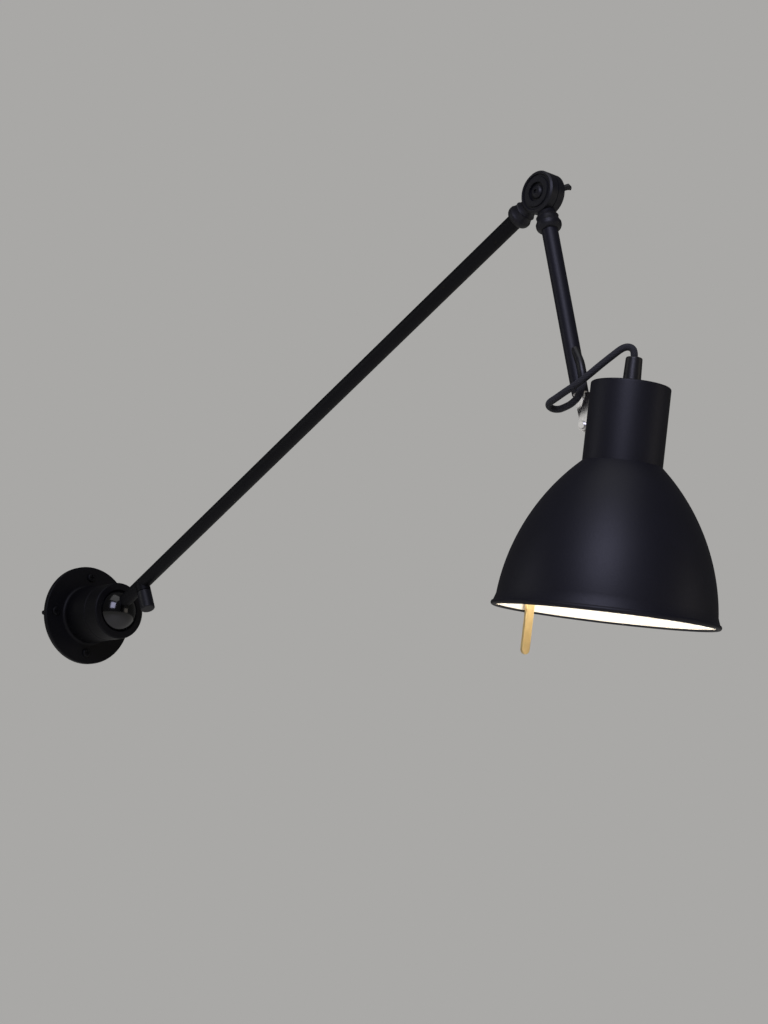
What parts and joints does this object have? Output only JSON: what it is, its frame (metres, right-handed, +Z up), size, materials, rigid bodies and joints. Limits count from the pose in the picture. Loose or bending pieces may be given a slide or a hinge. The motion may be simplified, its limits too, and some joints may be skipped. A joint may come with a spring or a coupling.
{
  "type": "swing arm wall lamp",
  "caption": "Swing arm wall lamp: ball socket on a round wall plate, long tube arm, elbow with wing nut, short arm and a tilting bell shade with a pull strip.",
  "frame": {"origin": "centre of the wall plate's back face and of its four wall screws", "axes": "+Y into the wall along the screws, +Z up, the lamp stands out towards -Y"},
  "size_m": [0.1796, 0.8721, 0.412],
  "materials": {
    "black_braid": "braided",
    "black_paint": "satin",
    "black_plastic": "matte",
    "black_rubber": "matte",
    "brass": "brushed",
    "gloss_black": "gloss",
    "nylon": "matte",
    "opal_glass": "opal",
    "polished_nickel": "polished",
    "porcelain": "gloss",
    "steel": "satin"
  },
  "bodies": {
    "wall_bracket": {"wall_plate": "black_paint", "plate_screws": "black_paint", "hub_housing": "black_paint", "retaining_ring": "black_paint", "pressure_cup": "steel", "disc_spring": "steel", "cable_grommet": "black_rubber", "terminal_block": "nylon", "earth_screw": "brass"},
    "clamp_knob": {"clamp_knob": "black_paint", "clamp_screw": "steel"},
    "friction_shoe": {"friction_shoe": "nylon"},
    "long_arm": {"base_ball": "gloss_black", "ball_stud": "steel", "clamp_boss": "black_paint", "long_arm_tube": "black_paint", "long_arm_knuckle": "black_paint", "friction_washer": "nylon", "elbow_bolt": "black_paint"},
    "wing_nut": {"wing_nut": "black_paint"},
    "short_arm": {"short_arm_knuckle": "black_paint", "spring_washer": "steel", "short_arm_tube": "black_paint", "tilt_rod": "polished_nickel", "cord_outlet": "black_plastic", "cord_ferrule": "black_paint"},
    "head": {"tilt_bracket": "polished_nickel", "bracket_pad": "black_rubber", "bracket_rivets": "polished_nickel", "tilt_pin": "polished_nickel", "shade_neck": "black_paint", "shade_bell": "black_paint", "lampholder": "porcelain", "shade_ring": "porcelain", "bulb_cap": "polished_nickel", "bulb_glass": "opal_glass", "cord_gland": "black_plastic", "pull_handle": "brass", "handle_rivets": "brass", "head_cord": "black_braid"}
  },
  "joints": [
    {"name": "clamp_knob_turn", "type": "hinge", "parent": "long_arm", "child": "clamp_knob", "pos_m": [0, -0.1156, 0.00701], "axis": [0, -0.4384, -0.8988], "continuous": true},
    {"name": "base_swing", "type": "hinge", "parent": "wall_bracket", "child": "friction_shoe", "pos_m": [0, -0.0556, 0], "axis": [0, 0, 1], "range_deg": [-28, 28]},
    {"name": "base_pitch", "type": "hinge", "parent": "friction_shoe", "child": "long_arm", "pos_m": [0, -0.0556, 0], "axis": [-1, 0, 0], "range_deg": [-64, 12]},
    {"name": "elbow_fold", "type": "hinge", "parent": "long_arm", "child": "short_arm", "pos_m": [0, -0.68476, 0.30686], "axis": [-1, 0, 0], "range_deg": [-28, 115]},
    {"name": "wing_nut_turn", "type": "hinge", "parent": "long_arm", "child": "wing_nut", "pos_m": [0, -0.68476, 0.30686], "axis": [1, 0, 0], "continuous": true},
    {"name": "head_tilt", "type": "hinge", "parent": "short_arm", "child": "head", "pos_m": [0, -0.73959, 0.09484], "axis": [1, 0, 0], "range_deg": [-8, 90], "deforming": ["head_cord"]}
  ]
}
